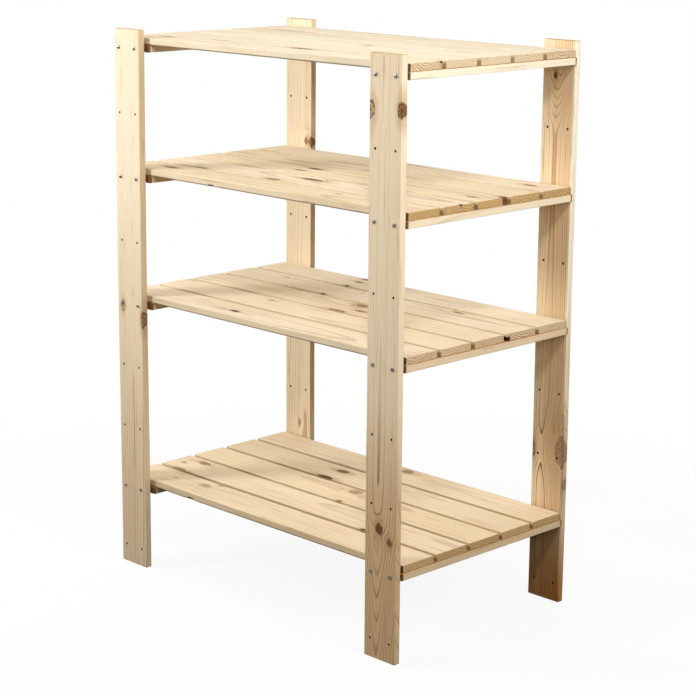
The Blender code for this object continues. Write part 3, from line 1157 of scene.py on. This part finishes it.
def board_mesh(board, shape):
    """A planed board with rounded edges, eased ends, a slight crook and any wane."""
    seed = random.Random(board.name + "_shape")
    waves = [
        (seed.uniform(*CROOK_SIZES) * shape.crook, seed.uniform(*CROOK_RATES), seed.uniform(*CROOK_STARTS))
        for _ in range(CROOK_WAVES)
    ]
    bm = bmesh.new()
    loops = []
    for along, inset in stations(board, shape):
        stray = sum(size * math.sin(rate * along + start) for size, rate, start in waves)
        outline = cross_section(board, shape, along, inset, seed)
        loops.append([bm.verts.new((along, across + stray, deep)) for across, deep in outline])
    count = len(loops[0])
    rounded = shape.edge_steps + 1
    for first, second in zip(loops, loops[1:]):
        for index in range(count):
            after = (index + 1) % count
            face = bm.faces.new((first[index], first[after], second[after], second[index]))
            face.smooth = after % rounded != 0
    bm.faces.new(loops[0])
    bm.faces.new(loops[-1])
    return mesh_from(board.name, bm)


def turned(bm, profile, sides, matrix):
    """Turn an outline of (radius, height) pairs, from axis to axis, about Z, and place it."""
    rings = []
    for radius, height in profile:
        if radius == 0:
            rings.append([bm.verts.new(matrix @ Vector((0, 0, height)))])
            continue
        turns = [2 * math.pi * side / sides for side in range(sides)]
        rings.append([
            bm.verts.new(matrix @ Vector((radius * math.cos(turn), radius * math.sin(turn), height)))
            for turn in turns
        ])
    join_rings(bm, rings, sides)


def join_rings(bm, rings, sides):
    """Faces between rings of points, where a ring of one point is a tip."""
    for first, second in zip(rings, rings[1:]):
        for side in range(sides):
            after = (side + 1) % sides
            corners = [first[side % len(first)], first[after % len(first)]]
            corners += [second[after % len(second)], second[side % len(second)]]
            face = bm.faces.new(list(dict.fromkeys(corners)))
            face.smooth = True


def post_holes(board):
    """The holes of a post: the lowest row's place along it, the rows' spacing and their reach sideways."""
    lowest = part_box("bottom_shelf_front_right_outer_screw")
    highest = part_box("top_shelf_front_right_outer_screw")
    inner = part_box("bottom_shelf_front_right_inner_screw")
    row = (lowest[0].z + lowest[1].z) / 2
    pitch = ((highest[0].z + highest[1].z) / 2 - row) / ROWS_BETWEEN_SHELVES
    reach = (lowest[0].x + lowest[1].x - inner[0].x - inner[1].x) / 4
    return row - pitch * ROWS_BELOW_SHELVES - board.place.translation.z, pitch, reach


def post_drill(board, shape):
    """A cutter for the holes through a post, flared where they leave it."""
    bm = bmesh.new()
    radius = shape.hole_diameter / 2
    half = board.thickness / 2
    wide = radius + shape.hole_flare + OVERRUN
    profile = [
        (0, -half - OVERRUN), (wide, -half - OVERRUN), (radius, -half + shape.hole_flare),
        (radius, half - shape.hole_flare), (wide, half + OVERRUN), (0, half + OVERRUN),
    ]
    lowest, pitch, reach = post_holes(board)
    for number in range(ROWS_BELOW_SHELVES + ROWS_BETWEEN_SHELVES + 1):
        for side in (-1, 1):
            middle = Matrix.Translation((lowest + pitch * number, side * reach, 0))
            turned(bm, profile, shape.hole_sides, middle)
    return mesh_from("post_drill", bm)


def batten_drill(board, shape):
    """A cutter for the screws' holes in the ends of a batten."""
    bm = bmesh.new()
    side = next(side for side in SIDES if f"_{side}_" in board.name)
    radius = shape.pilot_diameter / 2
    half = board.length / 2
    to_board = board.place.inverted()
    for place in SCREW_PLACES:
        low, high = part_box(f"bottom_shelf_front_{side}_{place}_screw")
        depth = half + high.y
        across = (to_board @ Vector(((low.x + high.x) / 2, 0, 0))).y
        profile = [(0, -OVERRUN), (radius, -OVERRUN), (radius, depth), (0, depth + radius)]
        for end in (-1, 1):
            inward = Matrix.Rotation(-end * math.pi / 2, 4, "Y")
            turned(bm, profile, shape.hole_sides, Matrix.Translation((end * half, across, 0)) @ inward)
    return mesh_from("batten_drill", bm)


def screw_rings(fixings, length, head_radius):
    """A pan-head wood screw's rings from crown to point: radius, distance below its seat, depth of thread."""
    rim = fixings.head_height * HEAD_RIM
    dome = fixings.head_height - rim
    rings = [(0, -fixings.head_height, 0)]
    for step in range(1, HEAD_STEPS + 1):
        turn = math.pi / 2 * step / HEAD_STEPS
        rings.append((head_radius * math.sin(turn), -rim - dome * math.cos(turn), 0))
    shank = fixings.shank_diameter / 2 - fixings.thread_depth
    ease = fixings.head_height * HEAD_EASE
    rings += [(head_radius, -ease, 0), (head_radius - ease, 0, 0), (shank, 0, 0)]
    start = fixings.head_height * THREAD_START
    tip = fixings.shank_diameter * TIP_LENGTH
    step_length = fixings.thread_pitch / THREAD_STEPS
    for step in range(int((length - start - tip) / step_length) + 1):
        thread = fixings.thread_depth * min(step / THREAD_STEPS, 1)
        rings.append((shank, start + step * step_length, thread))
    last = (shank * TIP_WIDTH, length - tip * TIP_PLACE, fixings.thread_depth * TIP_PLACE)
    return rings + [last, (0, length, 0)]


def screw_mesh(fixings, length, head_radius):
    """A cross-recessed pan-head wood screw along Z: its head is above the origin and its point below."""
    bm = bmesh.new()
    loops = []
    for radius, below, thread in screw_rings(fixings, length, head_radius):
        if radius == 0:
            loops.append([bm.verts.new((0, 0, -below))])
            continue
        loop = []
        for side in range(SCREW_SIDES):
            share = side / SCREW_SIDES
            tooth = abs(2 * ((below / fixings.thread_pitch - share) % 1) - 1)
            out = radius + thread * tooth
            turn = 2 * math.pi * share
            loop.append(bm.verts.new((out * math.cos(turn), out * math.sin(turn), -below)))
        loops.append(loop)
    join_rings(bm, loops, SCREW_SIDES)
    solid = mesh_from("pan_head_screw", bm)
    done = cut(solid, cross_recess(fixings))
    done.set_sharp_from_angle(angle=SCREW_SHARP)
    return done


def cross_recess(fixings):
    """A tapered cross that is cut into a screw's crown."""
    bm = bmesh.new()
    floor = fixings.head_height - fixings.recess_depth
    top = fixings.head_height + OVERRUN
    loops = []
    for height, share in ((floor, RECESS_FLOOR), (top, RECESS_TOP)):
        arm = fixings.recess_span / 2 * share
        half = fixings.recess_width / 2 * share
        quarter = [(arm, -half), (arm, half), (half, half)]
        loop = []
        for turn in range(4):
            spin = Matrix.Rotation(turn * math.pi / 2, 3, "Z")
            loop += [bm.verts.new(spin @ Vector((across, up, height))) for across, up in quarter]
        loops.append(loop)
    count = len(loops[0])
    for index in range(count):
        after = (index + 1) % count
        bm.faces.new((loops[0][index], loops[0][after], loops[1][after], loops[1][index]))
    bm.faces.new(loops[0])
    bm.faces.new(loops[1])
    return mesh_from("cross_recess", bm)


def dress_board(context, node, drill=None, turn=0.0):
    """Put a planed board in place of its node, with holes where it has a drill, turned on its flat side."""
    shape = context.scene.shelving_shape
    board = board_for(node)
    mesh = board_mesh(board, shape)
    if drill:
        mesh = cut(mesh, drill(board, shape))
    material = pine(board, context.scene.shelving_pine, shape)
    place = board.place @ Matrix.Rotation(turn, 4, "Z")
    new_piece(board.name + "_board", mesh, material, place, [board.name])


class SHELVING_OT_posts(bpy.types.Operator):
    """Make the four drilled posts"""

    bl_idname = "shelving.posts"
    bl_label = "Posts"

    def execute(self, context):
        for face in FACES:
            for side in SIDES:
                dress_board(context, f"{face}_{side}_post", post_drill)
        return {"FINISHED"}


class SHELVING_OT_slats(bpy.types.Operator):
    """Make the slats of every shelf"""

    bl_idname = "shelving.slats"
    bl_label = "Slats"

    def execute(self, context):
        reach = context.scene.shelving_shape.slat_turn
        for shelf in SHELVES:
            for number in SLAT_NUMBERS:
                node = f"{shelf}_slat_{number}"
                turn = random.Random(node + "_lay").uniform(-reach, reach)
                dress_board(context, node, turn=turn)
        return {"FINISHED"}


class SHELVING_OT_battens(bpy.types.Operator):
    """Make the two end battens of every shelf"""

    bl_idname = "shelving.battens"
    bl_label = "Battens"

    def execute(self, context):
        for shelf in SHELVES:
            for side in SIDES:
                dress_board(context, f"{shelf}_{side}_batten", batten_drill)
        return {"FINISHED"}


class SHELVING_OT_screws(bpy.types.Operator):
    """Make the pan-head screws that hold the shelves to the posts"""

    bl_idname = "shelving.screws"
    bl_label = "Screws"

    def execute(self, context):
        fixings = context.scene.shelving_fixings
        zinc = metal("zinc_plate", fixings.zinc, ZINC_ROUGHNESS, ZINC_METALLIC, ZINC_MARKS)
        low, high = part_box("bottom_shelf_front_left_outer_screw")
        mesh = screw_mesh(fixings, high.y - low.y - fixings.head_height, (high.x - low.x) / 2)
        for shelf in SHELVES:
            for face in FACES:
                for side in SIDES:
                    for place in SCREW_PLACES:
                        self.make_screw(fixings, zinc, mesh, shelf, face, side, place)
        return {"FINISHED"}

    def make_screw(self, fixings, zinc, mesh, shelf, face, side, place):
        """One screw, at its node or, where it has no node, opposite its partner at the front."""
        name = f"{shelf}_{face}_{side}_{place}_screw"
        low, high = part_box(f"{shelf}_front_{side}_{place}_screw")
        seat = (low.y + fixings.head_height) * -sign_of(face)
        lean = Matrix.Rotation(-sign_of(face) * math.pi / 2, 4, "X")
        spin = Matrix.Rotation(random.Random(name).uniform(0, math.pi), 4, "Z")
        middle = (low + high) / 2
        where = Matrix.Translation((middle.x, seat, middle.z)) @ lean @ spin
        nodes = [name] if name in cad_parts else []
        new_piece(name + "_zinc", mesh, zinc, where, nodes)


class SHELVING_OT_nails(bpy.types.Operator):
    """Make the nails that hold the slats from below"""

    bl_idname = "shelving.nails"
    bl_label = "Nails"

    def execute(self, context):
        fixings = context.scene.shelving_fixings
        steel = metal("nail_steel", fixings.steel, STEEL_ROUGHNESS, STEEL_METALLIC, STEEL_MARKS)
        for shelf in SHELVES:
            for side in SIDES:
                mesh = self.nail_mesh(fixings, shelf, side)
                new_piece(f"{shelf}_{side}_batten_nails", mesh, steel, Matrix.Identity(4))
        return {"FINISHED"}

    def nail_mesh(self, fixings, shelf, side):
        """Two nails for each slat, staggered along the batten."""
        name = f"{shelf}_{side}_batten"
        low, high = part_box(name)
        seed = random.Random(name + "_nails")
        bm = bmesh.new()
        radius = fixings.nail_head / 2
        shank = fixings.nail_shank / 2
        thick = fixings.nail_head_height
        ease = thick * NAIL_EASE
        profile = [
            (0, -thick), (radius - ease, -thick), (radius, -thick + ease), (radius, 0), (shank, 0),
            (shank, fixings.nail_length - 2 * fixings.nail_shank), (0, fixings.nail_length),
        ]
        for number in SLAT_NUMBERS:
            slat_low, slat_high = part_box(f"{shelf}_slat_{number}")
            middle = (slat_low + slat_high) / 2
            quarter = (slat_high.y - slat_low.y) / 4
            for step in (-1, 1):
                across = (low.x + high.x) / 2 + step * (high.x - low.x) * NAIL_STEP
                across += seed.uniform(-NAIL_STRAY_ACROSS, NAIL_STRAY_ACROSS)
                along = middle.y + step * quarter + seed.uniform(-NAIL_STRAY_ALONG, NAIL_STRAY_ALONG)
                turned(bm, profile, NAIL_SIDES, Matrix.Translation((across, along, low.z)))
        mesh = mesh_from(f"{name}_nails", bm)
        mesh.set_sharp_from_angle(angle=NAIL_SHARP)
        return mesh


class SHELVING_OT_stage(bpy.types.Operator):
    """Make the floor, the lights, the white surround and the camera"""

    bl_idname = "shelving.stage"
    bl_label = "Stage"

    def execute(self, context):
        look = context.scene.shelving_stage
        self.make_floor(look)
        self.make_surround(context.scene, look)
        for lamp in LAMPS:
            self.make_light(lamp, look.lamp_level)
        self.make_camera(context.scene, look)
        context.scene.view_settings.view_transform = "Standard"
        return {"FINISHED"}

    def seen_directly(self, graph):
        """1 for what the camera sees, in a reflection or through glass too, and 0 for light on the unit."""
        return graph.larger(*(graph.node("ShaderNodeLightPath", out=ray) for ray in SEEN_RAYS))

    def make_floor(self, look):
        """A wide pale floor that looks white, but keeps a little of the unit's shadow."""
        bm = bmesh.new()
        bmesh.ops.create_circle(bm, cap_ends=True, segments=FLOOR_SIDES, radius=FLOOR_RADIUS)
        floor = bpy.data.objects.new("floor", mesh_from("floor", bm))
        floor.location.z = CAD_LOW.z - FLOOR_GAP
        bpy.context.scene.collection.objects.link(floor)
        material = bpy.data.materials.new("pale_floor")
        graph = Graph(material)
        pale = graph.node("ShaderNodeBsdfDiffuse", None, {"Color": rgba([look.floor_pale] * 3)})
        dim = graph.node("ShaderNodeBsdfDiffuse", None, {"Color": rgba([look.floor_dim] * 3)})
        white = graph.node("ShaderNodeEmission", None, {"Color": rgba((1, 1, 1)), "Strength": 1.0})
        local = graph.node("ShaderNodeTexCoord", out="Object")
        away = graph.node("ShaderNodeVectorMath", {"operation": "LENGTH"}, {0: local}, out="Value")
        far = graph.ramp(away, look.shadow_reach / 2, look.shadow_reach)
        share = far * (1 - look.floor_white) + look.floor_white
        seen = graph.node("ShaderNodeMixShader", None, {0: share, 1: pale, 2: white})
        graph.close(graph.node("ShaderNodeMixShader", None, {0: self.seen_directly(graph), 1: dim, 2: seen}))
        floor.data.materials.append(material)

    def make_surround(self, scene, look):
        """A world that looks white, with a lit backdrop behind the unit and a dimmer room in front of it."""
        scene.world = bpy.data.worlds.new("white_surround")
        graph = Graph(scene.world)
        white = graph.node("ShaderNodeBackground", None, {"Color": rgba((1, 1, 1)), "Strength": 1.0})
        room = graph.node("ShaderNodeBackground", None, {"Color": rgba(WARM), "Strength": look.ambient})
        looking = graph.node("ShaderNodeTexCoord", out="Generated")
        aims = {0: looking, 1: BACKDROP_SIDE}
        facing = graph.node("ShaderNodeVectorMath", {"operation": "DOT_PRODUCT"}, aims, out="Value")
        behind = graph.ramp(facing, BACKDROP_START, BACKDROP_FULL)
        backdrop = graph.larger(self.seen_directly(graph), behind * look.backdrop)
        surround = graph.node("ShaderNodeMixShader", None, {0: backdrop, 1: room, 2: white})
        graph.node("ShaderNodeOutputWorld", None, {"Surface": surround})

    def make_light(self, lamp, level):
        """A square soft box that faces the unit at a height, and spreads its light over an angle."""
        light = bpy.data.lights.new(lamp.name, "AREA")
        light.shape = "SQUARE"
        light.size = lamp.size
        light.energy = lamp.power * level
        light.spread = math.radians(lamp.spread)
        light.color = lamp.tint
        box = bpy.data.objects.new(lamp.name, light)
        box.location = lamp.place
        aim = Vector((0, 0, lamp.aim)) - Vector(lamp.place)
        box.rotation_mode = "QUATERNION"
        box.rotation_quaternion = aim.to_track_quat("-Z", "Y")
        bpy.context.scene.collection.objects.link(box)

    def make_camera(self, scene, look):
        """The camera, from its eye, its turn round the unit, its tilt down and its roll."""
        data = bpy.data.cameras.new("camera")
        data.lens = look.lens
        data.shift_y = look.rise
        camera = bpy.data.objects.new("camera", data)
        aim = Matrix.Rotation(look.azimuth, 4, "Z") @ Matrix.Rotation(math.pi / 2 - look.elevation, 4, "X")
        camera.matrix_world = Matrix.Translation(look.eye) @ aim @ Matrix.Rotation(look.roll, 4, "Z")
        scene.collection.objects.link(camera)
        scene.camera = camera


class SHELVING_PT_sidebar(bpy.types.Panel):
    """The unit's settings and the steps that make it."""

    bl_idname = "SHELVING_PT_sidebar"
    bl_label = "Pine Shelving"
    bl_space_type = "VIEW_3D"
    bl_region_type = "UI"
    bl_category = "Shelving"

    def draw(self, context):
        for name in SETTINGS:
            group = getattr(context.scene, name)
            box = self.layout.box()
            for field in group.__annotations__:
                box.prop(group, field)
        for operator in OPERATORS:
            self.layout.operator(operator.bl_idname)


SETTINGS = {
    "shelving_pine": PineFinish,
    "shelving_shape": BoardShape,
    "shelving_fixings": Fixings,
    "shelving_stage": StageLook,
}
OPERATORS = (
    SHELVING_OT_posts,
    SHELVING_OT_slats,
    SHELVING_OT_battens,
    SHELVING_OT_screws,
    SHELVING_OT_nails,
    SHELVING_OT_stage,
)


def register():
    for group in SETTINGS.values():
        bpy.utils.register_class(group)
    for name, group in SETTINGS.items():
        setattr(bpy.types.Scene, name, bpy.props.PointerProperty(type=group))
    for operator in OPERATORS:
        bpy.utils.register_class(operator)
    bpy.utils.register_class(SHELVING_PT_sidebar)


def unregister():
    bpy.utils.unregister_class(SHELVING_PT_sidebar)
    for operator in reversed(OPERATORS):
        bpy.utils.unregister_class(operator)
    for name, group in SETTINGS.items():
        delattr(bpy.types.Scene, name)
        bpy.utils.unregister_class(group)


def main():
    register()
    bpy.ops.shelving.posts()
    bpy.ops.shelving.slats()
    bpy.ops.shelving.battens()
    bpy.ops.shelving.screws()
    bpy.ops.shelving.nails()
    bpy.ops.shelving.stage()


if __name__ == "__main__":
    main()
